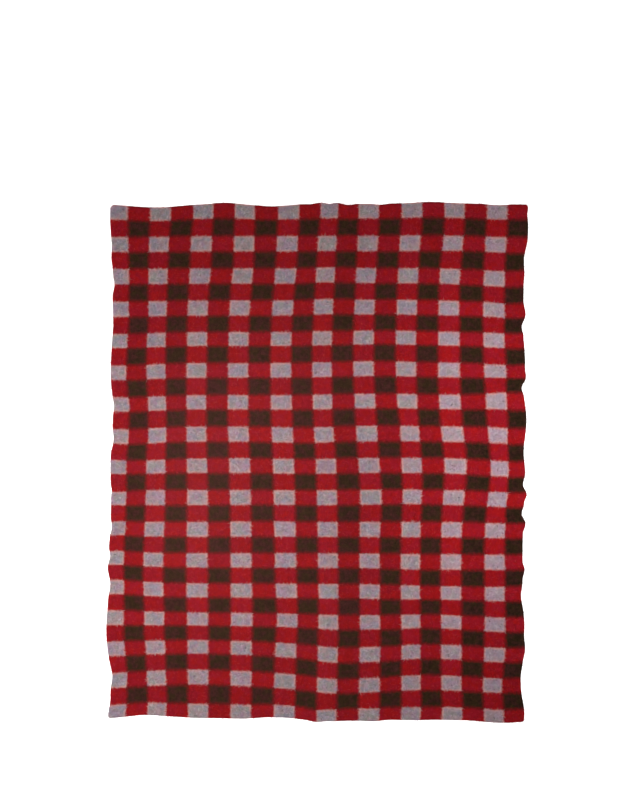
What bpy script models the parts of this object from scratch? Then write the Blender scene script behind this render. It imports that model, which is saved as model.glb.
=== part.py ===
# Checked wool blanket, laid out flat with its face up.
# One piece of brushed cloth, cut at four plain edges, in soft folds.
# Metres, +Z up. +X is across the cloth and +Y runs to its head edge.
# The origin is under the middle of the blanket, on the surface it lies on.

import math
from collections import namedtuple

import bmesh
import bpy

MM = 0.001

# The cloth as it was cut, and its thickness with the nap
WIDTH = 1.608
LENGTH = 2.001
THICKNESS = 0.0035

# Faces across and along the sheet
CELLS_ACROSS = 50
CELLS_ALONG = 76

# The edge is rounded over by this much, at top and bottom
EDGE_ROUND = 0.0011

# How far a wave of an edge is felt inside the cloth
WAVE_REACH = 0.11

# A fold fades to this share of its height at its far end
FOLD_FADE = 0.35

# How the corners are worn round: the side that each is on, and its radius in mm
Corner = namedtuple("Corner", "side_across side_up radius")
CORNERS = (
    Corner(-1, 1, 16),
    Corner(1, 1, 12),
    Corner(-1, -1, 8),
    Corner(1, -1, 8),
)

# Where the loose cloth was pulled aside as it was laid out.
# Place and reach in metres from the middle of the cloth, the pull in mm.
Pull = namedtuple("Pull", "across up reach_across reach_up right upward")
PULLS = (
    # Pulls to the right or left, from the head edge to the foot edge
    Pull(-0.30, 1.00, 0.36, 0.16, 21, 0),
    Pull(0.60, 1.00, 0.23, 0.16, 12, 0),
    Pull(-0.30, 0.75, 0.25, 0.15, 6, 0),
    Pull(-0.77, 0.75, 0.20, 0.23, 9, 0),
    Pull(0.11, 0.42, 0.47, 0.29, -16, 0),
    Pull(-0.75, 0.22, 0.18, 0.14, 12, 0),
    Pull(-0.40, 0.16, 0.25, 0.20, -6, 0),
    Pull(0.60, 0.00, 0.20, 0.14, 18, 0),
    Pull(0.30, -0.11, 0.23, 0.23, 10, 0),
    Pull(-0.69, -0.42, 0.23, 0.23, -13, 0),
    Pull(0.73, -0.38, 0.16, 0.23, -6, 0),
    Pull(0.01, -0.54, 0.35, 0.35, 10, 0),
    Pull(0.76, -0.89, 0.12, 0.12, -13, 0),
    # Pulls that run the whole length of the cloth
    Pull(-0.08, 0.00, 0.13, 3.00, 6, 0),
    Pull(0.48, 0.00, 0.15, 3.00, -7, 0),
    # Pulls towards the head edge or the foot edge
    Pull(0.45, 1.00, 0.25, 0.15, 0, 5),
    Pull(0.73, 0.73, 0.16, 0.19, 0, -10),
    Pull(-0.77, 0.40, 0.18, 0.29, 0, -9),
    Pull(0.25, 0.40, 0.23, 0.27, 0, 7),
    Pull(0.76, 0.27, 0.10, 0.05, 0, 14),
    Pull(0.77, -0.03, 0.18, 0.20, 0, -9),
    Pull(-0.79, -0.50, 0.16, 0.16, 0, 14),
    Pull(0.75, -0.69, 0.20, 0.33, 0, -17),
    Pull(0.09, -0.79, 0.17, 0.18, 0, -20),
    Pull(-0.53, -0.81, 0.29, 0.20, 0, 16),
    # Pulls that run the whole width of the cloth
    Pull(0.00, 1.00, 3.00, 0.12, 0, 4),
    Pull(0.00, 0.55, 3.00, 0.30, 0, -8),
    Pull(0.00, 0.12, 3.00, 0.10, 0, -5),
    Pull(0.00, -0.25, 3.00, 0.33, 0, -14),
    Pull(0.00, -0.78, 3.00, 0.15, 0, 4),
)

# The waves of the four edges: the middle of each and half its length in metres,
# measured along the edge from its middle, and how far it stands out in mm
Wave = namedtuple("Wave", "middle half_length out")
LEFT_WAVES = (
    Wave(0.94, 0.16, 8),
    Wave(0.80, 0.05, 5),
    Wave(0.70, 0.05, -7),
    Wave(0.54, 0.15, -7),
    Wave(0.33, 0.10, 4),
    Wave(0.23, 0.04, -4),
    Wave(0.10, 0.06, -8),
    Wave(-0.10, 0.025, -4),
    Wave(-0.20, 0.22, -6),
    Wave(-0.24, 0.04, -6),
    Wave(-0.36, 0.045, -7),
    Wave(-0.48, 0.07, -9),
    Wave(-0.675, 0.17, 13),
    Wave(-0.835, 0.07, -8),
    Wave(-1.00, 0.08, 9),
)
RIGHT_WAVES = (
    Wave(1.00, 0.05, 9),
    Wave(0.91, 0.12, 13),
    Wave(0.86, 0.05, 3),
    Wave(0.745, 0.04, 3),
    Wave(0.59, 0.05, 8),
    Wave(0.535, 0.04, -7),
    Wave(0.40, 0.12, 7),
    Wave(0.335, 0.045, 7),
    Wave(0.285, 0.035, -8),
    Wave(0.18, 0.10, 10),
    Wave(0.045, 0.075, -6),
    Wave(-0.065, 0.04, -7),
    Wave(-0.105, 0.035, 9),
    Wave(-0.18, 0.035, -8),
    Wave(-0.22, 0.04, 9),
    Wave(-0.40, 0.035, 8),
    Wave(-0.50, 0.06, -8),
    Wave(-0.62, 0.09, 4),
    Wave(-0.71, 0.06, 7),
    Wave(-0.82, 0.06, -4),
    Wave(-0.955, 0.095, 10),
)
HEAD_WAVES = (
    Wave(-0.64, 0.20, -12),
    Wave(-0.38, 0.09, 6),
    Wave(-0.19, 0.14, -8),
    Wave(0.00, 0.05, 6),
    Wave(0.065, 0.04, 5),
    Wave(0.12, 0.035, -4),
    Wave(0.245, 0.05, -4),
    Wave(0.44, 0.12, 4),
    Wave(0.69, 0.07, -4),
)
FOOT_WAVES = (
    Wave(-0.76, 0.10, 4),
    Wave(-0.68, 0.22, -13),
    Wave(-0.16, 0.14, -9),
    Wave(-0.01, 0.05, 5),
    Wave(0.22, 0.06, 4),
    Wave(0.38, 0.10, 2),
    Wave(0.72, 0.14, 6),
)

# The soft folds that stand off the surface: where each starts and ends in metres
# from the middle, how far it bows to its left on the way and half its width in
# metres, and its height in mm at its start
Fold = namedtuple("Fold", "from_x from_y to_x to_y bow half_width height")
FOLDS = (
    # Long folds inside the cloth
    Fold(0.03, -1.06, 0.04, 0.14, -0.035, 0.100, 10),
    Fold(-0.13, -1.06, -0.18, -0.62, 0.020, 0.070, 8),
    Fold(-0.08, 1.04, -0.46, 0.58, 0.040, 0.085, 8),
    Fold(0.66, 0.14, 0.18, 0.27, -0.030, 0.075, 7),
    Fold(-0.62, -1.06, -0.52, -0.76, 0.015, 0.080, 7),
    Fold(0.13, 1.06, 0.18, 0.70, -0.020, 0.060, 7),
    Fold(-0.56, 0.36, -0.22, 0.26, 0.030, 0.090, 5),
    Fold(0.34, -0.28, 0.46, -0.72, 0.030, 0.085, 6),
    Fold(-0.30, -0.06, -0.44, -0.42, -0.025, 0.080, 5),
    Fold(0.42, 0.86, 0.34, 0.56, 0.020, 0.070, 5),
    # Short folds that run in from the right edge
    Fold(0.88, 0.53, 0.52, 0.49, 0.010, 0.045, 8),
    Fold(0.88, 0.29, 0.44, 0.25, -0.015, 0.042, 10),
    Fold(0.88, 0.02, 0.60, -0.01, 0.010, 0.050, 8),
    Fold(0.88, -0.18, 0.60, -0.21, 0.008, 0.042, 7),
    Fold(0.88, -0.53, 0.52, -0.50, -0.015, 0.052, 8),
    Fold(0.88, -0.84, 0.60, -0.80, 0.010, 0.050, 6),
    # Short folds that run in from the left edge
    Fold(-0.88, 0.50, -0.50, 0.44, -0.012, 0.055, 8),
    Fold(-0.88, 0.10, -0.54, 0.08, 0.010, 0.045, 6),
    Fold(-0.88, -0.23, -0.48, -0.19, 0.020, 0.055, 9),
    Fold(-0.88, -0.49, -0.58, -0.53, -0.010, 0.048, 8),
    Fold(-0.88, -0.83, -0.56, -0.77, 0.012, 0.050, 8),
)

# Brushed wool, the mean of its red checks
WOOL_COLOUR = (0.254, 0.014, 0.021, 1.0)
WOOL_ROUGHNESS = 0.95


def clear_scene():
    for old in list(bpy.data.objects):
        bpy.data.objects.remove(old, do_unlink=True)


def hump(distance):
    """A smooth hump, 1 at no distance and 0 from a distance of 1 on."""
    if distance >= 1.0:
        return 0.0
    return 0.5 + 0.5 * math.cos(math.pi * distance)


def rounded(across, up):
    """Moves a point near a corner of the flat cloth inside the corner's round."""
    for corner in CORNERS:
        radius = corner.radius * MM
        past_across = across * corner.side_across - (WIDTH / 2 - radius)
        past_up = up * corner.side_up - (LENGTH / 2 - radius)
        if past_across <= 0.0 or past_up <= 0.0:
            continue
        p = past_across / radius
        q = past_up / radius
        short_across = radius * p * (1.0 - math.sqrt(1.0 - q * q / 2))
        short_up = radius * q * (1.0 - math.sqrt(1.0 - p * p / 2))
        across -= corner.side_across * short_across
        up -= corner.side_up * short_up
    return across, up


def pulled(across, up):
    """Where a point of the flat cloth lies after the pulls."""
    x = across
    y = up
    for pull in PULLS:
        aside = (across - pull.across) / pull.reach_across
        along = (up - pull.up) / pull.reach_up
        felt = math.exp(-aside * aside - along * along) * MM
        x += pull.right * felt
        y += pull.upward * felt
    return x, y


def wave_out(waves, along, inside):
    """How far the waves of an edge move a point that lies so far inside it."""
    felt = hump(inside / WAVE_REACH) * MM
    out = 0.0
    for wave in waves:
        out += wave.out * hump(abs(along - wave.middle) / wave.half_length)
    return out * felt


def lying(across, up):
    """The place on the surface of a point of the flat cloth."""
    across, up = rounded(across, up)
    x, y = pulled(across, up)
    x += wave_out(RIGHT_WAVES, up, WIDTH / 2 - across)
    x -= wave_out(LEFT_WAVES, up, WIDTH / 2 + across)
    y += wave_out(HEAD_WAVES, across, LENGTH / 2 - up)
    y -= wave_out(FOOT_WAVES, across, LENGTH / 2 + up)
    return x, y


def fold_height(fold, x, y):
    """How high one fold is here. Its middle line bows sideways as a parabola does."""
    run_x = fold.to_x - fold.from_x
    run_y = fold.to_y - fold.from_y
    run = math.hypot(run_x, run_y)
    from_start = ((x - fold.from_x) * run_x + (y - fold.from_y) * run_y) / run
    to_left = ((y - fold.from_y) * run_x - (x - fold.from_x) * run_y) / run
    share = min(max(from_start / run, 0.0), 1.0)
    aside = to_left - fold.bow * 4.0 * share * (1.0 - share)
    beyond = from_start - share * run
    faded = 1.0 - (1.0 - FOLD_FADE) * share
    return fold.height * faded * hump(math.hypot(aside, beyond) / fold.half_width)


def lift(x, y):
    """How far the folds lift the underside off the surface here."""
    return sum(fold_height(fold, x, y) for fold in FOLDS) * MM


def sheet_places():
    """The grid of places of the underside, moved so that its box is centred."""
    rows = []
    for j in range(CELLS_ALONG + 1):
        up = LENGTH * (j / CELLS_ALONG - 0.5)
        rows.append([lying(WIDTH * (i / CELLS_ACROSS - 0.5), up) for i in range(CELLS_ACROSS + 1)])
    all_x = [x for row in rows for x, _ in row]
    all_y = [y for row in rows for _, y in row]
    middle_x = (min(all_x) + max(all_x)) / 2
    middle_y = (min(all_y) + max(all_y)) / 2
    return [[(x - middle_x, y - middle_y, lift(x, y)) for x, y in row] for row in rows]


def wool_material():
    material = bpy.data.materials.new("brushed wool")
    material.use_nodes = True
    shader = material.node_tree.nodes["Principled BSDF"]
    shader.inputs["Base Color"].default_value = WOOL_COLOUR
    shader.inputs["Roughness"].default_value = WOOL_ROUGHNESS
    shader.inputs["Metallic"].default_value = 0.0
    material.diffuse_color = WOOL_COLOUR
    return material


def make_blanket():
    bm = bmesh.new()
    grid = [[bm.verts.new(place) for place in row] for row in sheet_places()]
    for low, high in zip(grid, grid[1:]):
        for i in range(CELLS_ACROSS):
            bm.faces.new((low[i], low[i + 1], high[i + 1], high[i]))
    mesh = bpy.data.meshes.new("blanket")
    bm.to_mesh(mesh)
    bm.free()
    mesh.materials.append(wool_material())

    blanket = bpy.data.objects.new("blanket", mesh)
    bpy.context.scene.collection.objects.link(blanket)

    # The sheet rises from its underside, so that it rests on the surface
    thicken = blanket.modifiers.new("thickness", "SOLIDIFY")
    thicken.thickness = THICKNESS
    thicken.offset = 1.0
    thicken.use_rim = True

    soften = blanket.modifiers.new("rounded edge", "BEVEL")
    soften.width = EDGE_ROUND
    soften.segments = 1
    soften.limit_method = "ANGLE"
    soften.angle_limit = math.radians(60)
    mesh.shade_smooth()
    return blanket


def main():
    clear_scene()
    make_blanket()


main()
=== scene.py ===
import math

import bpy
import numpy as np
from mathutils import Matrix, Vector, noise


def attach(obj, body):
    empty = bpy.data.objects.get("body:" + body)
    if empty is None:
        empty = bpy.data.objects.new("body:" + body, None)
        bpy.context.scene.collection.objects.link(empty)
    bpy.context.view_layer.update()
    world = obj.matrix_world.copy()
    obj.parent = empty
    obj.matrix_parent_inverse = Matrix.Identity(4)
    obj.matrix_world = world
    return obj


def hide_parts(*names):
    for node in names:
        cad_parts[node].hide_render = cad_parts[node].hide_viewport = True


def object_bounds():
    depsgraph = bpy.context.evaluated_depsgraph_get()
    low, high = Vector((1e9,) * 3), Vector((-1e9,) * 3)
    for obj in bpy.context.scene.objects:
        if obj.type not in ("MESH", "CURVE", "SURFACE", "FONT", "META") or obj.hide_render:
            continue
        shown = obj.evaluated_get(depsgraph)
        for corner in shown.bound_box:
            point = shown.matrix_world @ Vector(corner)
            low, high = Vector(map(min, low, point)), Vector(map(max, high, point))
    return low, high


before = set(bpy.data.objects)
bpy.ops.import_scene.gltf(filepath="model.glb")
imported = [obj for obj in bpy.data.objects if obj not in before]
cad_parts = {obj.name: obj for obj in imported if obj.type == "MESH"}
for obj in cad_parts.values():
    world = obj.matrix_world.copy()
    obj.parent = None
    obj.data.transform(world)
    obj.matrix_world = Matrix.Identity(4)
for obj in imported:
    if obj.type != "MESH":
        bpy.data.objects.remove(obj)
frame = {"nodes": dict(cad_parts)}
cadBox = [list(corner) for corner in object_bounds()]
print("frame loaded:", ", ".join(frame["nodes"]))

mm = 0.001


# helpers
def linear(hexColour):
    # an sRGB hex value, as a paint chart gives it, to Blender's linear colour, opaque
    parts = [int(hexColour[i:i + 2], 16) / 255 for i in (1, 3, 5)]
    return tuple(p / 12.92 if p <= 0.04045 else ((p + 0.055) / 1.055) ** 2.4 for p in parts) + (1.0,)


def addNode(tree, kind, inputs=None, **settings):
    # adds a node, its settings, and its inputs as values or as links from other sockets
    made = tree.nodes.new(kind)
    for name, value in settings.items():
        setattr(made, name, value)
    for name, value in (inputs or {}).items():
        if isinstance(value, bpy.types.NodeSocket):
            tree.links.new(value, made.inputs[name])
        else:
            made.inputs[name].default_value = value
    return made


def table(columns, *rows):
    # a short table: each row becomes a dictionary with the named columns
    names = columns.split()
    return [dict(zip(names, row)) for row in rows]


# the cloth as it was cut, and how it lies
cloth = {
    "width": 1.608,             # m, side to side
    "length": 2.001,            # m, head edge to foot edge
    "thickness": 3.0 * mm,      # the felted ground; the nap stands on it
    "edgeRound": 1.3 * mm,      # how far the edge is rounded over
    "lowerRing": 0.3,           # heights of the rounded edge's two rings, as shares of the thickness
    "upperRing": 0.7,
    "cellsAcross": 190,
    "cellsAlong": 236,
    "waveReach": 0.11,          # m, how far a wave of an edge is felt inside the cloth
    "foldFade": 0.35,           # share of its height that a fold keeps at its far end
    "lumps": 0.5 * mm,          # soft unevenness of the brushed face
    "lumpSize": 0.035,          # m
    "frayed": 0.6 * mm,         # unevenness of the cut edge
    "fraySize": 0.016,          # m
}

# worn corners: the side that each is on, and its radius in mm
corners = table(
    "sideAcross sideUp radius",
    (-1, 1, 16),
    (1, 1, 12),
    (-1, -1, 8),
    (1, -1, 8),
)

# where the loose cloth was pulled aside: place and reach in m from its middle, the pull in mm
pulls = table(
    "across up reachAcross reachUp right upward",
    (-0.30, 1.00, 0.36, 0.16, 21, 0),      # to the right or left, from head to foot
    (0.60, 1.00, 0.23, 0.16, 12, 0),
    (-0.30, 0.75, 0.25, 0.15, 6, 0),
    (-0.77, 0.75, 0.20, 0.23, 9, 0),
    (0.11, 0.42, 0.47, 0.29, -16, 0),
    (-0.75, 0.22, 0.18, 0.14, 12, 0),
    (-0.40, 0.16, 0.25, 0.20, -6, 0),
    (0.60, 0.00, 0.20, 0.14, 18, 0),
    (0.30, -0.11, 0.23, 0.23, 10, 0),
    (-0.69, -0.42, 0.23, 0.23, -13, 0),
    (0.73, -0.38, 0.16, 0.23, -6, 0),
    (0.01, -0.54, 0.35, 0.35, 10, 0),
    (0.76, -0.89, 0.12, 0.12, -13, 0),
    (-0.08, 0.00, 0.13, 3.00, 6, 0),       # the whole length of the cloth
    (0.48, 0.00, 0.15, 3.00, -7, 0),
    (0.45, 1.00, 0.25, 0.15, 0, 5),        # towards the head or the foot
    (0.73, 0.73, 0.16, 0.19, 0, -10),
    (-0.77, 0.40, 0.18, 0.29, 0, -9),
    (0.25, 0.40, 0.23, 0.27, 0, 7),
    (0.76, 0.27, 0.10, 0.05, 0, 14),
    (0.77, -0.03, 0.18, 0.20, 0, -9),
    (-0.79, -0.50, 0.16, 0.16, 0, 14),
    (0.75, -0.69, 0.20, 0.33, 0, -17),
    (0.09, -0.79, 0.17, 0.18, 0, -20),
    (-0.53, -0.81, 0.29, 0.20, 0, 16),
    (0.00, 1.00, 3.00, 0.12, 0, 4),        # the whole width of the cloth
    (0.00, 0.55, 3.00, 0.30, 0, -8),
    (0.00, 0.12, 3.00, 0.10, 0, -5),
    (0.00, -0.25, 3.00, 0.33, 0, -14),
    (0.00, -0.78, 3.00, 0.15, 0, 4),
)

# waves of the four edges: the middle of each and half its length in m, how far it stands out in mm
waveColumns = "middle halfLength out"
edgeWaves = {
    "left": table(
        waveColumns,
        (0.94, 0.16, 8),
        (0.80, 0.05, 5),
        (0.70, 0.05, -7),
        (0.54, 0.15, -7),
        (0.33, 0.10, 4),
        (0.23, 0.04, -4),
        (0.10, 0.06, -8),
        (-0.10, 0.025, -4),
        (-0.20, 0.22, -6),
        (-0.24, 0.04, -6),
        (-0.36, 0.045, -7),
        (-0.48, 0.07, -9),
        (-0.675, 0.17, 13),
        (-0.835, 0.07, -8),
        (-1.00, 0.08, 9),
    ),
    "right": table(
        waveColumns,
        (1.00, 0.05, 9),
        (0.91, 0.12, 13),
        (0.86, 0.05, 3),
        (0.745, 0.04, 3),
        (0.59, 0.05, 8),
        (0.535, 0.04, -7),
        (0.40, 0.12, 7),
        (0.335, 0.045, 7),
        (0.285, 0.035, -8),
        (0.18, 0.10, 10),
        (0.045, 0.075, -6),
        (-0.065, 0.04, -7),
        (-0.105, 0.035, 9),
        (-0.18, 0.035, -8),
        (-0.22, 0.04, 9),
        (-0.40, 0.035, 8),
        (-0.50, 0.06, -8),
        (-0.62, 0.09, 4),
        (-0.71, 0.06, 7),
        (-0.82, 0.06, -4),
        (-0.955, 0.095, 10),
    ),
    "head": table(
        waveColumns,
        (-0.64, 0.20, -12),
        (-0.38, 0.09, 6),
        (-0.19, 0.14, -8),
        (0.00, 0.05, 6),
        (0.065, 0.04, 5),
        (0.12, 0.035, -4),
        (0.245, 0.05, -4),
        (0.44, 0.12, 4),
        (0.69, 0.07, -4),
    ),
    "foot": table(
        waveColumns,
        (-0.76, 0.10, 4),
        (-0.68, 0.22, -13),
        (-0.16, 0.14, -9),
        (-0.01, 0.05, 5),
        (0.22, 0.06, 4),
        (0.38, 0.10, 2),
        (0.72, 0.14, 6),
    ),
}

# soft folds that stand off the floor: start and end in m from the middle, how far each bows
# to its left and half its width in m, and its height in mm at its start
folds = table(
    "fromX fromY toX toY bow halfWidth height",
    (0.03, -1.06, 0.04, 0.14, -0.035, 0.100, 10),      # long folds inside the cloth
    (-0.13, -1.06, -0.18, -0.62, 0.020, 0.070, 8),
    (-0.08, 1.04, -0.46, 0.58, 0.040, 0.085, 8),
    (0.66, 0.14, 0.18, 0.27, -0.030, 0.075, 7),
    (-0.62, -1.06, -0.52, -0.76, 0.015, 0.080, 7),
    (0.13, 1.06, 0.18, 0.70, -0.020, 0.060, 7),
    (-0.56, 0.36, -0.22, 0.26, 0.030, 0.090, 5),
    (0.34, -0.28, 0.46, -0.72, 0.030, 0.085, 6),
    (-0.30, -0.06, -0.44, -0.42, -0.025, 0.080, 5),
    (0.42, 0.86, 0.34, 0.56, 0.020, 0.070, 5),
    (0.88, 0.53, 0.52, 0.49, 0.010, 0.045, 8),         # short ones in from the right edge
    (0.88, 0.29, 0.44, 0.25, -0.015, 0.042, 10),
    (0.88, 0.02, 0.60, -0.01, 0.010, 0.050, 8),
    (0.88, -0.18, 0.60, -0.21, 0.008, 0.042, 7),
    (0.88, -0.53, 0.52, -0.50, -0.015, 0.052, 8),
    (0.88, -0.84, 0.60, -0.80, 0.010, 0.050, 6),
    (-0.88, 0.50, -0.50, 0.44, -0.012, 0.055, 8),      # short ones in from the left edge
    (-0.88, 0.10, -0.54, 0.08, 0.010, 0.045, 6),
    (-0.88, -0.23, -0.48, -0.19, 0.020, 0.055, 9),
    (-0.88, -0.49, -0.58, -0.53, -0.010, 0.048, 8),
    (-0.88, -0.83, -0.56, -0.77, 0.012, 0.050, 8),
)

# the woven check: how many columns and rows, and the few that are narrower than the rest, in mm.
# the outer ones are narrow because the cloth was cut there
check = {
    "columns": 20,
    "rows": 33,
    "narrowColumns": {0: 64.0, 1: 75.0, 2: 78.0, 19: 73.0},
    "narrowRows": {0: 57.5, 32: 52.0},      # counted from the head edge
}

# where the weave itself wanders: place and reach in m from the middle, how far its lines are off in mm
weaveWander = table(
    "across up reachAcross reachUp right upward",
    (-0.56, 0.97, 0.12, 0.10, 8, 0),       # to the right or left
    (-0.28, 1.00, 0.08, 0.08, -5, 0),
    (-0.08, 0.85, 0.10, 0.28, 6, 0),
    (0.02, 0.98, 0.07, 0.06, 7, 0),
    (0.40, 0.96, 0.16, 0.11, 8, 0),
    (0.48, 0.87, 0.06, 0.07, 6, 0),
    (-0.36, 0.78, 0.22, 0.08, 6, 0),
    (0.24, 0.68, 0.06, 0.08, -4, 0),
    (0.56, 0.66, 0.06, 0.10, -5, 0),
    (-0.68, 0.57, 0.08, 0.07, 6, 0),
    (-0.72, 0.34, 0.05, 0.08, -5, 0),
    (-0.64, 0.12, 0.08, 0.06, 5, 0),
    (0.66, 0.00, 0.08, 0.26, 10, 0),
    (0.71, 0.28, 0.09, 0.16, 7, 0),
    (0.69, -0.48, 0.09, 0.24, 7, 0),
    (0.32, 0.13, 0.05, 0.07, 6, 0),
    (0.05, 0.17, 0.07, 0.11, -5, 0),
    (0.24, -0.12, 0.10, 0.10, 5, 0),
    (-0.16, -0.60, 0.08, 0.10, 7, 0),
    (-0.64, -0.67, 0.10, 0.05, -6, 0),
    (-0.64, -0.93, 0.10, 0.07, 6, 0),
    (0.32, -0.80, 0.16, 0.28, 7, 0),
    (0.50, -0.95, 0.28, 0.07, 5, 0),
    (-0.70, 0.90, 0.14, 0.08, 0, -4),      # towards the head or the foot
    (0.05, 0.68, 0.10, 0.14, 0, 5),
    (0.76, 0.63, 0.06, 0.10, 0, -6),
    (0.62, 0.82, 0.12, 0.03, 0, 5),
    (0.75, 0.42, 0.12, 0.07, 0, -9),
    (0.00, 0.45, 3.00, 0.025, 0, 4),
    (0.00, 0.27, 3.00, 0.03, 0, -4),
    (-0.74, 0.10, 0.14, 0.16, 0, -7),
    (-0.62, 0.03, 0.16, 0.03, 0, -5),
    (-0.77, -0.09, 0.06, 0.03, 0, -8),
    (-0.05, 0.06, 0.14, 0.14, 0, -5),
    (0.68, -0.02, 0.14, 0.06, 0, -6),
    (-0.20, -0.20, 0.15, 0.06, 0, 3),
    (0.35, -0.15, 0.20, 0.05, 0, 4),
    (-0.76, -0.30, 0.05, 0.08, 0, 5),
    (0.43, -0.44, 0.22, 0.12, 0, -8),
    (0.58, -0.45, 0.14, 0.03, 0, -4),
    (0.28, -0.72, 0.09, 0.18, 0, -6),
    (-0.25, -0.80, 0.35, 0.15, 0, 6),
    (-0.42, -0.88, 0.24, 0.03, 0, 4),
    (0.10, -0.64, 0.45, 0.03, 0, 3),
    (0.77, 0.15, 0.05, 0.35, 0, -5),
    (0.00, -0.95, 0.08, 0.05, 0, -5),
)

# painted sheen: where a pale reddish veil is painted over fibres of all three colours, and how much
paintedSheenPatches = table(
    "across up reachAcross reachUp share",
    (-0.47, -0.06, 0.30, 0.50, 0.05),
    (-0.05, 0.35, 0.30, 0.30, 0.02),
    (-0.45, -0.85, 0.45, 0.30, 0.01),
    (-0.20, 0.00, 0.65, 1.20, 0.018),
    (0.06, -0.45, 0.20, 0.60, 0.012),
)

# painted light and shade towards the right: there the grey is painted paler and rosier, and the brown
# darker
paintedContrastRight = table(
    "across up reachAcross reachUp share",
    (0.80, -0.10, 0.36, 1.00, 0.35),
)

# painted light and shade: where the colour is painted paler, as if lit more, or darker, as if in shade, and
# by how much
paintedLightAndShade = table(
    "across up reachAcross reachUp share",
    (-0.25, 0.30, 0.33, 0.22, 0.07),
    (0.54, 0.50, 0.11, 0.30, 0.09),
    (0.54, -0.45, 0.10, 0.55, 0.07),
    (0.13, -0.25, 0.15, 0.42, -0.10),
    (0.12, 0.03, 0.20, 0.10, -0.05),
    (0.12, 0.70, 0.12, 0.30, -0.05),
    (-0.75, -0.30, 0.12, 0.30, -0.05),
)


def hump(distance):
    # a smooth hump: 1 at no distance, 0 from a distance of 1 on
    return 0.5 + 0.5 * np.cos(np.pi * np.clip(distance, 0.0, 1.0))


def felt(row, across, up):
    # how strongly a row of a table with a place and a reach is felt at each point
    aside = (across - row["across"]) / row["reachAcross"]
    along = (up - row["up"]) / row["reachUp"]
    return np.exp(-aside * aside - along * along)


def roundCorners(across, up):
    # moves the points near each corner of the flat cloth inside the corner's round
    for corner in corners:
        radius = corner["radius"] * mm
        p = np.clip((across * corner["sideAcross"] - cloth["width"] / 2) / radius + 1.0, 0.0, 1.0)
        q = np.clip((up * corner["sideUp"] - cloth["length"] / 2) / radius + 1.0, 0.0, 1.0)
        across = across - corner["sideAcross"] * radius * p * (1.0 - np.sqrt(1.0 - q * q / 2))
        up = up - corner["sideUp"] * radius * q * (1.0 - np.sqrt(1.0 - p * p / 2))
    return across, up


def waveOut(side, along, inside):
    # how far the waves of one edge move the points that lie so far inside it
    out = sum(w["out"] * hump(np.abs(along - w["middle"]) / w["halfLength"]) for w in edgeWaves[side])
    return out * hump(inside / cloth["waveReach"]) * mm


def lying(across, up):
    # the place on the floor of each point of the flat cloth
    across, up = roundCorners(across, up)
    x, y = across.copy(), up.copy()
    for pull in pulls:
        strength = felt(pull, across, up) * mm
        x += pull["right"] * strength
        y += pull["upward"] * strength
    x += waveOut("right", up, cloth["width"] / 2 - across)
    x -= waveOut("left", up, cloth["width"] / 2 + across)
    y += waveOut("head", across, cloth["length"] / 2 - up)
    y -= waveOut("foot", across, cloth["length"] / 2 + up)
    return x, y


def lift(x, y):
    # how far the folds lift the underside off the floor
    height = np.zeros_like(x)
    for fold in folds:
        runX, runY = fold["toX"] - fold["fromX"], fold["toY"] - fold["fromY"]
        run = math.hypot(runX, runY)
        fromStart = ((x - fold["fromX"]) * runX + (y - fold["fromY"]) * runY) / run
        toLeft = ((y - fold["fromY"]) * runX - (x - fold["fromX"]) * runY) / run
        share = np.clip(fromStart / run, 0.0, 1.0)
        aside = toLeft - fold["bow"] * 4.0 * share * (1.0 - share)      # it bows most halfway along
        faded = 1.0 - (1.0 - cloth["foldFade"]) * share
        away = np.hypot(aside, fromStart - share * run) / fold["halfWidth"]
        height += fold["height"] * faded * hump(away) * mm
    return height


def unevenness(x, y, size, layer):
    # smooth fixed noise, -1 to 1, at each place
    at = np.stack([x, y, np.full_like(x, layer)], axis=-1).reshape(-1, 3) / size
    return np.array([noise.noise(Vector(point)) for point in at]).reshape(x.shape)


def checkLines(count, total, narrow):
    # where the check's lines fall across the flat cloth; the first and last lie past its cut edges
    plain = (total - sum(narrow.values()) * mm) / (count - len(narrow))
    sizes = [narrow[i] * mm if i in narrow else plain for i in range(count)]
    lines = np.concatenate([[0.0], np.cumsum(sizes)])
    lines[0] = lines[1] - plain
    lines[-1] = lines[-2] + plain
    return lines, plain


def checkPlace(across, up):
    # the same points counted in checks: columns from the left edge, rows from the head edge
    columnLines, columnSize = checkLines(check["columns"], cloth["width"], check["narrowColumns"])
    rowLines, rowSize = checkLines(check["rows"], cloth["length"], check["narrowRows"])
    right = sum(row["right"] * felt(row, across, up) for row in weaveWander) * mm
    upward = sum(row["upward"] * felt(row, across, up) for row in weaveWander) * mm
    column = np.interp(across - right + cloth["width"] / 2, columnLines, np.arange(check["columns"] + 1))
    row = np.interp(cloth["length"] / 2 - up + upward, rowLines, np.arange(check["rows"] + 1))
    return column, row


def ringOf(shape):
    # the grid's border, once round: left to right along the foot, then up the right side and back
    rowCount, columnCount = shape
    foot = [(0, i) for i in range(columnCount)]
    right = [(j, columnCount - 1) for j in range(1, rowCount)]
    head = [(rowCount - 1, i) for i in range(columnCount - 2, -1, -1)]
    left = [(j, 0) for j in range(rowCount - 2, 0, -1)]
    return foot + right + head + left


# the flat map for baking, in shares of its square: the face on its left half, the
# underside on its right, and round each the strips of the rounded edge
flatMap = {
    "middleAcross": 0.245,
    "middleUp": 0.5,
    "halfWidth": 0.235,
    "halfLength": 0.49,
    "toUnderside": 0.5,         # how far right of the face the underside lies
    "upperRing": 1.002,         # how far out the two rings of the edge are laid, the upper one
    "lowerRing": 1.004,         # and the lower one
    "borderRing": 1.008,        # and the underside's own border, where the last strip ends
}


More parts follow.
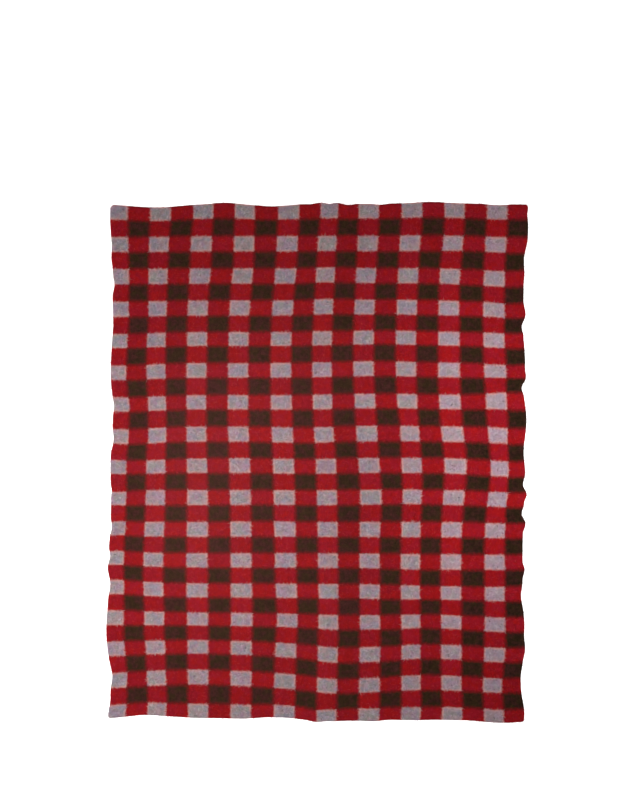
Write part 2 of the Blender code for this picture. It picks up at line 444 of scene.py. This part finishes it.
def makeCloth():
    width, length, thickness = cloth["width"], cloth["length"], cloth["thickness"]
    inset = cloth["edgeRound"]
    across, up = np.meshgrid(
        np.linspace(-0.5, 0.5, cloth["cellsAcross"] + 1) * (width - 2 * inset),
        np.linspace(-0.5, 0.5, cloth["cellsAlong"] + 1) * (length - 2 * inset),
    )
    x, y = lying(across, up)
    low = lift(x, y)
    high = low + thickness + cloth["lumps"] * unevenness(x, y, cloth["lumpSize"], 1.0)

    # the rounded edge: two rings of points between the top's border and the underside's
    ring = ringOf(x.shape)
    ringRows, ringColumns = np.array(ring).T
    outAcross = across[ringRows, ringColumns] * width / (width - 2 * inset)
    outUp = up[ringRows, ringColumns] * length / (length - 2 * inset)
    ringX, ringY = lying(outAcross, outUp)
    ringX = ringX + cloth["frayed"] * unevenness(ringX, ringY, cloth["fraySize"], 2.0)
    ringY = ringY + cloth["frayed"] * unevenness(ringX, ringY, cloth["fraySize"], 3.0)
    ringLow = lift(ringX, ringY)

    grid = np.arange(x.size).reshape(x.shape)
    points = np.concatenate([
        np.stack([x, y, low], axis=-1).reshape(-1, 3),
        np.stack([x, y, high], axis=-1).reshape(-1, 3),
        np.stack([ringX, ringY, ringLow + cloth["lowerRing"] * thickness], axis=-1),
        np.stack([ringX, ringY, ringLow + cloth["upperRing"] * thickness], axis=-1),
    ])
    lowerStart = 2 * x.size      # where each ring's points start
    upperStart = lowerStart + len(ring)
    under = grid[:-1, :-1], grid[1:, :-1], grid[1:, 1:], grid[:-1, 1:]
    faces = np.stack([corner.reshape(-1) for corner in under], axis=1)
    top = faces[:, ::-1] + x.size
    border = grid[ringRows, ringColumns]
    aroundRing = np.arange(len(ring))
    loops = [border, aroundRing + lowerStart, aroundRing + upperStart, border + x.size]
    rim = [
        np.stack([below, np.roll(below, -1), np.roll(above, -1), above], axis=1)
        for below, above in zip(loops, loops[1:])
    ]
    allFaces = np.concatenate([faces, top, *rim])

    # moved so that the sheet's box is centred as the solid's is
    boxMiddle = (points.min(axis=0) + points.max(axis=0)) / 2
    cadMiddle = (np.array(cadBox[0]) + np.array(cadBox[1])) / 2
    points[:, :2] += (cadMiddle - boxMiddle)[:2]

    mesh = bpy.data.meshes.new("woolSheet")
    mesh.from_pydata(points.tolist(), [], allFaces.tolist())
    mesh.shade_smooth()

    # what the wool's colours read: the place in checks, and its painted light, shade and sheen
    flatAcross = np.concatenate([across.reshape(-1), across.reshape(-1), outAcross, outAcross])
    flatUp = np.concatenate([up.reshape(-1), up.reshape(-1), outUp, outUp])
    column, row = checkPlace(flatAcross, flatUp)
    pointOfCorner = np.array([loop.vertex_index for loop in mesh.loops])
    for name, patches in (("paintedSheenPatches", paintedSheenPatches), ("paintedContrastRight", paintedContrastRight), ("paintedLightAndShade", paintedLightAndShade)):
        share = sum(patch["share"] * felt(patch, flatAcross, flatUp) for patch in patches)
        mesh.attributes.new(name, "FLOAT", "POINT").data.foreach_set("value", share.astype(np.float32))
    checkUv = np.stack([column[pointOfCorner], row[pointOfCorner]], axis=1).astype(np.float32)
    mesh.uv_layers.new(name="checkMap").data.foreach_set("uv", checkUv.reshape(-1))

    # the quarter that each face's nap belongs to
    middles = np.array([points[list(face)].mean(axis=0) for face in allFaces])
    quarter = (middles[:, 0] > 0) + 2 * (middles[:, 1] > 0)
    quarter[:len(faces)] = -1      # no nap between the cloth and what it lies on, or on its cut edge
    quarter[len(faces) + len(top):] = -1
    mesh.attributes.new("quarter", "INT", "FACE").data.foreach_set("value", quarter.astype(np.int32))

    # the flat map: round the face, the edge's strips follow each other outwards
    middleAcross, middleUp = flatMap["middleAcross"], flatMap["middleUp"]
    stretch = np.ones(len(points))
    stretch[lowerStart:upperStart] = flatMap["lowerRing"]
    stretch[upperStart:] = flatMap["upperRing"]
    mapAcross = middleAcross + flatMap["halfWidth"] * flatAcross * stretch / (width / 2)
    mapUp = middleUp + flatMap["halfLength"] * flatUp * stretch / (length / 2)
    faceNumber = np.repeat(np.arange(len(allFaces)), 4)
    isUnderside = faceNumber < len(faces)
    isEdge = faceNumber >= len(faces) + len(top)
    u = mapAcross[pointOfCorner] + np.where(isUnderside, flatMap["toUnderside"], 0.0)
    v = mapUp[pointOfCorner]
    laidOut = isEdge & (pointOfCorner < x.size)      # the lowest strip is laid outside the others
    u = np.where(laidOut, middleAcross + (u - middleAcross) * flatMap["borderRing"], u)
    v = np.where(laidOut, middleUp + (v - middleUp) * flatMap["borderRing"], v)
    bakeUv = np.stack([u, v], axis=1).astype(np.float32)
    mesh.uv_layers.new(name="OFBake").data.foreach_set("uv", bakeUv.reshape(-1))
    mesh.uv_layers.active = mesh.uv_layers["checkMap"]

    sheet = bpy.data.objects.new("woolSheet", mesh)
    bpy.context.scene.collection.objects.link(sheet)
    return sheet


# brushed wool, felted and raised: no gloss, a soft bloom, colours that mix at their borders
wool = {
    "greyPale": "#AF9EA6",      # heathered grey: pale and slate fibres carded together
    "greySlate": "#7F7178",
    "greyLavender": "#9B86A8",  # the four tints that it drifts between
    "greyBeige": "#A4988B",
    "greyPink": "#BB8995",      # where red fibres were carded in
    "greyMoss": "#899791",      # and where none were
    "greyPaintedRoseLight": "#B793A6",      # painted light: the paler, rosier grey towards the right
    "greySpeck": "#4C3E44",     # small clots of dark hair felted in
    "greyWisp": "#CDBFC0",      # single pale locks that lie over the rest
    "redWarm": "#A61619",
    "redCrimson": "#9E1828",
    "redDeep": "#7A0E15",       # its dark flecks
    "redWisp": "#B83A3A",
    "brownOlive": "#3C2B19",
    "brownPlum": "#4A2724",
    "brownDeepFlecksAndShade": "#20160E",     # its dark flecks, and painted shade on the brown towards the right
    "fringePale": "#D79E98",    # where the grey wool's longest fibres lie over its neighbour
    "mingled": "#621416",       # brown and red fibres mixed at their border
    "clot": "#4A1719",          # small dark knots of fibre caught at a grey border
    "paintedSheenVeil": "#9A6460",        # painted sheen: the pale reddish veil laid over all three colours
    # the borders of the checks
    "toothSize": 10.0 * mm,     # the small teeth of a check's border
    "toothReach": 2.4 * mm,
    "greyBlur": 4.2 * mm,       # half the width over which two colours mix
    "brownBlur": 10.5 * mm,
    "looseBlur": 0.6,           # a lock has one colour from end to end, so it mixes less
    "greyInset": 2.4 * mm,      # how far the darker wool spreads over the grey, and the brown over the red
    "brownSpread": 0.6 * mm,
    "fringeWidth": 4.6 * mm,
    "fringeShare": 0.85,
    "fringeRange": (0.25, 0.55),        # a range is the part of a noise's values over which a look sets in
    "mingledShare": 0.5,
    "clotShare": 0.5,
    "clotSize": 10.0 * mm,
    "clotRange": (0.60, 0.68),
    # the grain inside a check
    "fleckSize": 8.0 * mm,      # real flecks are 1 to 2 mm, drawn coarser to show at all
    "fleckStretch": (0.75, 0.6, 1.0),   # drawn out a little across and more along the cloth
    "fleckRange": (0.30, 0.70),
    "lockShare": 0.4,           # how much of a loose lock's shade is its own
    "redFlecked": 0.4,          # how strongly the flecks darken the red and the brown
    "brownFlecked": 0.6,
    "speckSize": 11.0 * mm,     # between specks; each is a few mm across
    "speckRange": (0.68, 0.73),
    "speckShare": 0.45,
    "hairSize": 24.0 * mm,      # between single long hairs felted into the face
    "hairWidth": 0.012,         # as a share of that size
    "paleHairShare": 0.5,
    "darkHairShare": 0.25,
    "wispRange": (0.90, 0.94),
    "greyWispShare": 0.8,
    "redWispShare": 0.6,
    # slow changes of shade
    "mottleSize": 17.0 * mm,    # soft cloudiness inside a check
    "mottleRange": (0.35, 0.65),
    "mottleShare": 0.15,
    "smudgeShare": 0.35,        # the same cloudiness in the grey
    "patchSize": 26.0 * mm,
    "patchRange": (0.38, 0.62),
    "dyeLotInPatches": 0.10,    # each check took the dye a little differently
    "dyeLotInRed": 0.20,
    "tintShare": 0.72,
    "tintLostToPaintedContrast": 0.4,     # how much less of its tint the grey has where light and shade are painted towards the right
    # the surface
    "napSize": 5.0 * mm,        # between clumps of nap; real ones are closer still
    "napDepth": 1.3 * mm,
    "tuftStretch": (1.0, 0.5, 1.0),     # combed along the cloth
    "tuftShare": 0.6,           # of the nap's relief; the rest is in softer lumps
    "lumpScale": 5,             # how much larger those are
    "reliefStrength": 0.8,
    "roughness": 0.95,
    "specular": 0.03,
    "sheen": 0.06,
    "sheenRoughness": 0.5,
    "sheenTint": "#D9C4C4",
}


def woolMaterial(name, loose):
    # the same wool for the sheet and for the loose fibres of its nap, where each lock has one shade
    material = bpy.data.materials.new(name)
    material.use_nodes = True
    tree = material.node_tree
    tree.nodes.clear()
    output = addNode(tree, "ShaderNodeOutputMaterial")
    shader = addNode(tree, "ShaderNodeBsdfPrincipled")
    tree.links.new(shader.outputs["BSDF"], output.inputs["Surface"])
    shader.inputs["Roughness"].default_value = wool["roughness"]
    shader.inputs["Specular IOR Level"].default_value = wool["specular"]
    shader.inputs["Sheen Weight"].default_value = wool["sheen"]
    shader.inputs["Sheen Roughness"].default_value = wool["sheenRoughness"]
    shader.inputs["Sheen Tint"].default_value = linear(wool["sheenTint"])

    _, columnSize = checkLines(check["columns"], cloth["width"], check["narrowColumns"])
    _, rowSize = checkLines(check["rows"], cloth["length"], check["narrowRows"])
    place = addNode(tree, "ShaderNodeTexCoord").outputs["Object"]
    inChecks = addNode(tree, "ShaderNodeAttribute", attribute_name="checkMap").outputs["Vector"]

    def maths(operation, first, second=0.0):
        return addNode(tree, "ShaderNodeMath", {0: first, 1: second}, operation=operation).outputs[0]

    def mix(share, first, second):
        made = addNode(tree, "ShaderNodeMix", {"Factor": share}, data_type="RGBA")
        for index, colour in ((6, first), (7, second)):
            if isinstance(colour, bpy.types.NodeSocket):
                tree.links.new(colour, made.inputs[index])
            else:
                made.inputs[index].default_value = linear(colour)
        return made.outputs[2]

    def cloudy(size, detail=1.0, roughness=0.5, stretch=(1.0, 1.0, 1.0)):
        drawnOut = addNode(tree, "ShaderNodeMapping", {"Vector": place, "Scale": stretch})
        return addNode(
            tree, "ShaderNodeTexNoise",
            {"Vector": drawnOut.outputs[0], "Scale": 1.0 / size, "Detail": detail, "Roughness": roughness},
        ).outputs

    def ramp(value, low, high):
        # 0 below the low value, 1 above the high one, and smooth between them
        return addNode(
            tree, "ShaderNodeMapRange", {0: value, 1: low, 2: high}, interpolation_type="SMOOTHSTEP",
        ).outputs[0]

    fleck = cloudy(wool["fleckSize"], detail=3.0, roughness=0.7, stretch=wool["fleckStretch"])["Fac"]
    if loose:
        counted = inChecks      # the locks that cross a border are its teeth
        lock = addNode(tree, "ShaderNodeAttribute", attribute_name="lock").outputs["Fac"]
        share = wool["lockShare"]
        fleck = maths("ADD", maths("MULTIPLY", lock, share), maths("MULTIPLY", fleck, 1.0 - share))
    else:
        # a noise strays from its middle by about a quarter, so it is taken four times
        teeth = cloudy(wool["toothSize"], detail=3.0, roughness=0.6)["Color"]
        centred = addNode(
            tree, "ShaderNodeVectorMath", {0: teeth, 1: (0.5, 0.5, 0.5)}, operation="SUBTRACT",
        ).outputs[0]
        reach = [wool["toothReach"] * 4.0 / size for size in (columnSize, rowSize)] + [0.0]
        counted = addNode(
            tree, "ShaderNodeVectorMath", {0: centred, 1: reach, 2: inChecks}, operation="MULTIPLY_ADD",
        ).outputs[0]
    column, row, _ = addNode(tree, "ShaderNodeSeparateXYZ", {0: counted}).outputs
    columnWave = maths("SINE", maths("MULTIPLY", column, math.pi))
    rowWave = maths("SINE", maths("MULTIPLY", row, math.pi))

    def evenShare(wave, size, inset, blur):
        # 1 in the even columns or rows, 0 in the odd ones, with a soft border drawn in by the inset
        slope = math.pi / size
        blur = blur * (wool["looseBlur"] if loose else 1.0)
        return ramp(wave, (inset - blur) * slope, (inset + blur) * slope)

    def evenBoth(operation, inset, blur):
        columnShare = evenShare(columnWave, columnSize, inset, blur)
        return maths(operation, columnShare, evenShare(rowWave, rowSize, inset, blur))

    def nearBorder(share):
        # 1 where two colours are mixed half and half, 0 where either is alone
        return maths("MULTIPLY", maths("MULTIPLY", share, maths("SUBTRACT", 1.0, share)), 4.0)

    greyShare = evenBoth("MULTIPLY", wool["greyInset"], wool["greyBlur"])
    greyInside = evenBoth("MULTIPLY", wool["greyInset"] + wool["fringeWidth"], wool["greyBlur"])
    redOrGrey = evenBoth("MAXIMUM", wool["brownSpread"], wool["brownBlur"])

    # each check has its own dye lot, and each shade drifts in patches, two ways apart
    cell = addNode(tree, "ShaderNodeVectorMath", {0: counted}, operation="FLOOR").outputs[0]
    chance = addNode(tree, "ShaderNodeTexWhiteNoise", {"Vector": cell}, noise_dimensions="3D")
    dyeLot, warmth, _ = addNode(tree, "ShaderNodeSeparateColor", {0: chance.outputs["Color"]}).outputs
    patches = cloudy(wool["patchSize"], detail=3.0)["Color"]
    drift, tone, _ = addNode(tree, "ShaderNodeSeparateColor", {0: patches}).outputs

    def patchy(patch, lot):
        # mostly the patch's own value, and a little of its check's
        lotShare = wool["dyeLotInPatches"]
        together = maths("ADD", maths("MULTIPLY", patch, 1.0 - lotShare), maths("MULTIPLY", lot, lotShare))
        return ramp(together, *wool["patchRange"])

    drifting, toning = patchy(drift, dyeLot), patchy(tone, warmth)
    mottle = ramp(cloudy(wool["mottleSize"])["Fac"], *wool["mottleRange"])
    mottled = maths("MULTIPLY", maths("SUBTRACT", mottle, 0.5), wool["mottleShare"])
    pale = ramp(fleck, *wool["fleckRange"])
    dark = maths("SUBTRACT", 1.0, pale)

    # grey: flecked, drifting between its four tints, smudged, specked and crossed by single hairs
    # painted light and shade towards the right: the grey keeps less tint, is painted paler and rosier and
    # specked more, and the brown is painted darker
    paintedContrastShare = addNode(tree, "ShaderNodeAttribute", attribute_name="paintedContrastRight").outputs["Fac"]
    grey = mix(pale, wool["greySlate"], wool["greyPale"])
    coolTint = mix(toning, wool["greyLavender"], wool["greyBeige"])
    tint = mix(0.5, coolTint, mix(drifting, wool["greyMoss"], wool["greyPink"]))
    tintLost = maths("MULTIPLY", paintedContrastShare, wool["tintLostToPaintedContrast"])
    grey = mix(maths("SUBTRACT", wool["tintShare"], tintLost), grey, tint)
    grey = mix(maths("MULTIPLY", mottle, wool["smudgeShare"]), grey, wool["greySlate"])
    grey = mix(paintedContrastShare, grey, wool["greyPaintedRoseLight"])
    speck = ramp(cloudy(wool["speckSize"])["Fac"], *wool["speckRange"])
    grey = mix(maths("MULTIPLY", speck, maths("ADD", paintedContrastShare, wool["speckShare"])), grey, wool["greySpeck"])
    hairs = cloudy(wool["hairSize"])["Color"]
    paleHair, darkHair, _ = addNode(tree, "ShaderNodeSeparateColor", {0: hairs}).outputs
    for hair, shade, share in (
        (paleHair, wool["greyWisp"], wool["paleHairShare"]),
        (darkHair, wool["greySpeck"], wool["darkHairShare"]),
    ):
        # a hair runs where this noise crosses its middle value
        fromHair = maths("ABSOLUTE", maths("SUBTRACT", hair, 0.5))
        onHair = maths("SUBTRACT", 1.0, ramp(fromHair, 0.0, wool["hairWidth"] * 2))
        grey = mix(maths("MULTIPLY", onHair, share), grey, shade)

    # red and brown: flecked with their deep shade
    red = mix(toning, wool["redCrimson"], wool["redWarm"])
    redShade = maths(
        "ADD", maths("MULTIPLY", dark, wool["redFlecked"]), maths("MULTIPLY", dyeLot, wool["dyeLotInRed"]),
    )
    red = mix(maths("ADD", redShade, mottled), red, wool["redDeep"])
    brown = mix(drifting, wool["brownOlive"], wool["brownPlum"])
    # the brown's shade: its dark flecks, and painted shade towards the right
    brownShade = maths("ADD", maths("MULTIPLY", dark, wool["brownFlecked"]), paintedContrastShare)
    brown = mix(maths("ADD", brownShade, mottled), brown, wool["brownDeepFlecksAndShade"])
    if loose:
        wisp = ramp(lock, *wool["wispRange"])
        grey = mix(maths("MULTIPLY", wisp, wool["greyWispShare"]), grey, wool["greyWisp"])
        red = mix(maths("MULTIPLY", wisp, wool["redWispShare"]), red, wool["redWisp"])

    # the check: the pale fringe lies inside the grey's border, the clots on it
    fringe = maths("MULTIPLY", maths("SUBTRACT", 1.0, greyInside), wool["fringeShare"])
    grey = mix(maths("MULTIPLY", fringe, ramp(tone, *wool["fringeRange"])), grey, wool["fringePale"])
    colour = mix(redOrGrey, brown, red)
    colour = mix(maths("MULTIPLY", nearBorder(redOrGrey), wool["mingledShare"]), colour, wool["mingled"])
    colour = mix(greyShare, colour, grey)
    clots = ramp(cloudy(wool["clotSize"])["Fac"], *wool["clotRange"])
    clots = maths("MULTIPLY", maths("MULTIPLY", clots, nearBorder(greyShare)), wool["clotShare"])
    colour = mix(clots, colour, wool["clot"])
    # painted sheen: a pale reddish veil mixed into the colour where the table says
    paintedSheenVeil = addNode(tree, "ShaderNodeAttribute", attribute_name="paintedSheenPatches").outputs["Fac"]
    colour = mix(paintedSheenVeil, colour, wool["paintedSheenVeil"])
    # painted light and shade: the colour is made paler or darker by the table's share
    lightAndShadeShare = addNode(tree, "ShaderNodeAttribute", attribute_name="paintedLightAndShade").outputs["Fac"]
    colour = addNode(
        tree, "ShaderNodeHueSaturation", {"Color": colour, "Value": maths("ADD", lightAndShadeShare, 1.0)},
    ).outputs[0]
    tree.links.new(colour, shader.inputs["Base Color"])

    if not loose:
        # raised nap: short tufts combed along the cloth, over softer lumps
        tufts = cloudy(wool["napSize"], detail=2.0, roughness=0.65, stretch=wool["tuftStretch"])["Fac"]
        lumps = cloudy(wool["napSize"] * wool["lumpScale"], detail=2.0)["Fac"]
        share = wool["tuftShare"]
        height = maths("ADD", maths("MULTIPLY", tufts, share), maths("MULTIPLY", lumps, 1.0 - share))
        relief = addNode(
            tree, "ShaderNodeBump",
            {"Height": height, "Distance": wool["napDepth"], "Strength": wool["reliefStrength"]},
        )
        tree.links.new(relief.outputs[0], shader.inputs["Normal"])
    return material


# the nap: loose locks of fibre that lie over the face and stand out past the edges
nap = {
    "lockLength": 11.0 * mm,
    "lockWidth": 1.1 * mm,      # a lock of many fibres; one fibre is 0.03 mm, far too fine to show
    "lockRise": 2.4 * mm,       # how high its back arches
    "rootDepth": 0.1,           # how deep its root sits, as a share of that rise
    "tipRise": 0.35,            # how high its tip stays, as a share of it
    "bendAt": 0.45,             # where it arches most, as a share of its length
    "bendWidth": 0.8,           # how wide it still is there
    "lowest": 0.2 * mm,         # a lock that hangs past an edge lies on the floor
    "smallest": 0.6,            # its scale, smallest and largest
    "largest": 1.25,
    "locksInAPiece": 58000,     # each quarter of the cloth is a piece
    "seed": 11,
    "seedStep": 10,             # from one piece to the next
}


def lockMesh():
    # one lock: a tapered blade that rises from its root, arches over and comes down at its tip
    length, half, rise = nap["lockLength"], nap["lockWidth"] / 2, nap["lockRise"]
    rootDepth, tipRise = nap["rootDepth"] * rise, nap["tipRise"] * rise
    bendAt, bendHalf = nap["bendAt"] * length, half * nap["bendWidth"]
    mesh = bpy.data.meshes.new("lock")
    mesh.from_pydata(
        [
            (0.0, -half, -rootDepth), (0.0, half, -rootDepth),
            (bendAt, bendHalf, rise), (bendAt, -bendHalf, rise),
            (length, 0.0, tipRise),
        ],
        [],
        [(0, 3, 2, 1), (3, 4, 2)],
    )
    mesh.shade_smooth()
    lock = bpy.data.objects.new("lock", mesh)
    bpy.context.scene.collection.objects.link(lock)
    return lock


def napTree(material):
    # Geometry Nodes: scatters locks over the faces of one quarter, each turned and sized by chance
    tree = bpy.data.node_groups.new("raisedNap", "GeometryNodeTree")
    for name, kind in (
        ("Cloth", "NodeSocketGeometry"), ("Lock", "NodeSocketObject"), ("Locks per m2", "NodeSocketFloat"),
        ("Quarter", "NodeSocketInt"), ("Smallest", "NodeSocketFloat"), ("Largest", "NodeSocketFloat"),
        ("Seed", "NodeSocketInt"),
    ):
        tree.interface.new_socket(name, in_out="INPUT", socket_type=kind)
    tree.interface.new_socket("Nap", in_out="OUTPUT", socket_type="NodeSocketGeometry")
    given = addNode(tree, "NodeGroupInput").outputs
    quarter = addNode(tree, "GeometryNodeInputNamedAttribute", {"Name": "quarter"}, data_type="INT")
    inQuarter = addNode(
        tree, "FunctionNodeCompare", {2: quarter.outputs[0], 3: given["Quarter"]},
        data_type="INT", operation="EQUAL",
    )
    roots = addNode(
        tree, "GeometryNodeDistributePointsOnFaces",
        {"Mesh": given["Cloth"], "Selection": inQuarter.outputs[0], "Density": given["Locks per m2"],
         "Seed": given["Seed"]},
        distribute_method="RANDOM",
    )
    # inputs 2 and 3 of a random value are its lowest and highest number
    spin = addNode(
        tree, "FunctionNodeRandomValue",
        {2: 0.0, 3: 2.0 * math.pi, "Seed": given["Seed"]}, data_type="FLOAT",
    )
    turn = addNode(tree, "ShaderNodeCombineXYZ", {"Z": spin.outputs[1]})
    turned = addNode(
        tree, "FunctionNodeRotateRotation",
        {"Rotation": roots.outputs["Rotation"], "Rotate By": turn.outputs[0]}, rotation_space="LOCAL",
    )
    later = addNode(tree, "ShaderNodeMath", {0: given["Seed"], 1: 1.0}, operation="ADD")
    size = addNode(
        tree, "FunctionNodeRandomValue",
        {2: given["Smallest"], 3: given["Largest"], "Seed": later.outputs[0]}, data_type="FLOAT",
    )
    lockInfo = addNode(tree, "GeometryNodeObjectInfo", {"Object": given["Lock"], "As Instance": True})
    locks = addNode(
        tree, "GeometryNodeInstanceOnPoints",
        {"Points": roots.outputs["Points"], "Instance": lockInfo.outputs["Geometry"],
         "Rotation": turned.outputs[0], "Scale": size.outputs[1]},
    )
    muchLater = addNode(tree, "ShaderNodeMath", {0: given["Seed"], 1: 2.0}, operation="ADD")
    shade = addNode(
        tree, "FunctionNodeRandomValue",
        {2: 0.0, 3: 1.0, "Seed": muchLater.outputs[0]}, data_type="FLOAT",
    )
    shaded = addNode(
        tree, "GeometryNodeStoreNamedAttribute",
        {"Geometry": locks.outputs[0], "Name": "lock", "Value": shade.outputs[1]},
        data_type="FLOAT", domain="INSTANCE",
    )
    real = addNode(tree, "GeometryNodeRealizeInstances", {"Geometry": shaded.outputs[0]})
    dressed = addNode(tree, "GeometryNodeSetMaterial", {"Geometry": real.outputs[0], "Material": material})
    addNode(tree, "NodeGroupOutput", {"Nap": dressed.outputs[0]})
    return tree


def makeNap(sheet, quarterNames):
    # grows the nap of each quarter on a copy of the sheet, then keeps the result as a plain mesh
    material = woolMaterial("looseWool", loose=True)
    tree = napTree(material)
    lock = lockMesh()
    sockets = {item.name: item.identifier for item in tree.interface.items_tree if item.in_out == "INPUT"}
    pieces = []
    for index, name in enumerate(quarterNames):
        ground = bpy.data.objects.new("ground", sheet.data.copy())
        bpy.context.scene.collection.objects.link(ground)
        grower = ground.modifiers.new("raisedNap", "NODES")
        grower.node_group = tree
        values = {
            "Lock": lock,
            "Locks per m2": nap["locksInAPiece"] / (cloth["width"] * cloth["length"] / len(quarterNames)),
            "Quarter": index,
            "Smallest": nap["smallest"],
            "Largest": nap["largest"],
            "Seed": nap["seed"] + nap["seedStep"] * index,
        }
        for socketName, value in values.items():
            grower[sockets[socketName]] = value
        graph = bpy.context.evaluated_depsgraph_get()
        mesh = bpy.data.meshes.new_from_object(ground.evaluated_get(graph), depsgraph=graph)
        mesh.name = name
        bpy.data.objects.remove(ground, do_unlink=True)
        places = np.empty(len(mesh.vertices) * 3, np.float32)
        mesh.vertices.foreach_get("co", places)
        places[2::3] = np.maximum(places[2::3], nap["lowest"])
        mesh.vertices.foreach_set("co", places)
        bakeMap = mesh.uv_layers.new(name="OFBake")
        pointOfCorner = np.empty(len(mesh.loops), np.int32)
        mesh.loops.foreach_get("vertex_index", pointOfCorner)
        flat = places.reshape(-1, 3)[:, :2]
        low, high = flat.min(axis=0), flat.max(axis=0)
        bakeMap.data.foreach_set("uv", ((flat - low) / (high - low))[pointOfCorner].reshape(-1))
        piece = bpy.data.objects.new(name, mesh)
        bpy.context.scene.collection.objects.link(piece)
        pieces.append(piece)
        print(name, "grown:", len(mesh.polygons), "faces")
    bpy.data.objects.remove(lock, do_unlink=True)
    return pieces


# stage: pale floor, soft light, camera straight above
stage = {
    "floorSize": 40.0,          # m
    "floorColour": "#F4F3F1",
    "floorRoughness": 0.9,
    "floorSpecular": 0.1,
    "floorGlow": 1.0,           # keeps the floor as white as a sheet of paper
    "imageHeight": 3.1096,      # m of floor that the picture's height takes in
    "aimX": 0.0107,             # m, the middle of the picture from the middle of the blanket
    "aimY": 0.2424,
    "lens": 85.0,               # mm
    "sensor": 36.0,             # mm, the side that the picture's height is set on
    "roomLight": 0.22,          # from above
    "horizonLight": 1.0,        # the far wall, as white as the floor
    "wallTop": (0.19, 0.28),    # sine of the height at which the wall starts and ends to fade
}

# soft boxes: where each hangs and where it points in m, its size in m, its power in W
lights = table(
    "name x y z toX toY size power",
    ("overLeft", -0.70, -0.28, 1.85, -0.70, -0.28, 0.9, 26.0),
    ("overRight", 0.95, 0.15, 1.15, 0.95, 0.15, 0.6, 10.5),
    ("windowLeft", -3.40, -0.40, 1.70, 0.00, -0.20, 1.2, 36.0),
)


def makeStage():
    half = stage["floorSize"] / 2
    mesh = bpy.data.meshes.new("floor")
    floorCorners = [(-half, -half, 0), (half, -half, 0), (half, half, 0), (-half, half, 0)]
    mesh.from_pydata(floorCorners, [], [(0, 1, 2, 3)])
    floor = bpy.data.objects.new("floor", mesh)
    bpy.context.scene.collection.objects.link(floor)
    material = bpy.data.materials.new("paleFloor")
    material.use_nodes = True
    shader = material.node_tree.nodes["Principled BSDF"]
    shader.inputs["Base Color"].default_value = linear(stage["floorColour"])
    shader.inputs["Roughness"].default_value = stage["floorRoughness"]
    shader.inputs["Specular IOR Level"].default_value = stage["floorSpecular"]
    shader.inputs["Emission Color"].default_value = (1.0, 1.0, 1.0, 1.0)
    shader.inputs["Emission Strength"].default_value = stage["floorGlow"]
    mesh.materials.append(material)

    world = bpy.data.worlds.new("room")
    bpy.context.scene.world = world
    world.use_nodes = True
    background = world.node_tree.nodes["Background"]
    background.inputs["Color"].default_value = (1.0, 1.0, 1.0, 1.0)
    direction = addNode(world.node_tree, "ShaderNodeTexCoord").outputs["Generated"]
    height = addNode(world.node_tree, "ShaderNodeSeparateXYZ", {0: direction}).outputs["Z"]
    fadeStart, fadeEnd = stage["wallTop"]
    glow = addNode(
        world.node_tree, "ShaderNodeMapRange",
        {0: height, 1: fadeStart, 2: fadeEnd, 3: stage["horizonLight"], 4: stage["roomLight"]},
        interpolation_type="SMOOTHSTEP",
    )
    world.node_tree.links.new(glow.outputs[0], background.inputs["Strength"])

    for row in lights:
        data = bpy.data.lights.new(row["name"], "AREA")
        data.shape = "DISK"
        data.size = row["size"]
        data.energy = row["power"]
        lamp = bpy.data.objects.new(row["name"], data)
        lamp.location = (row["x"], row["y"], row["z"])
        towards = Vector((row["toX"] - row["x"], row["toY"] - row["y"], -row["z"]))
        lamp.rotation_mode = "QUATERNION"
        lamp.rotation_quaternion = towards.to_track_quat("-Z", "Y")
        lamp.visible_camera = False
        bpy.context.scene.collection.objects.link(lamp)

    data = bpy.data.cameras.new("camera")
    data.lens = stage["lens"]
    data.sensor_width = stage["sensor"]
    camera = bpy.data.objects.new("camera", data)
    distance = stage["imageHeight"] * stage["lens"] / stage["sensor"] + cloth["thickness"]
    camera.location = (stage["aimX"], stage["aimY"], distance)
    bpy.context.scene.collection.objects.link(camera)
    bpy.context.scene.camera = camera
    bpy.context.scene.view_settings.view_transform = "Standard"
    bpy.context.scene.view_settings.look = "None"


makeStage()
print("stage made")

sheet = makeCloth()
sheet.data.materials.append(woolMaterial("brushedWool", loose=False))
napPieces = makeNap(sheet, ["napFootLeft", "napFootRight", "napHeadLeft", "napHeadRight"])
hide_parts("blanket")
for piece in [sheet, *napPieces]:
    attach(piece, "root")
print("wool sheet made:", len(sheet.data.polygons), "faces")
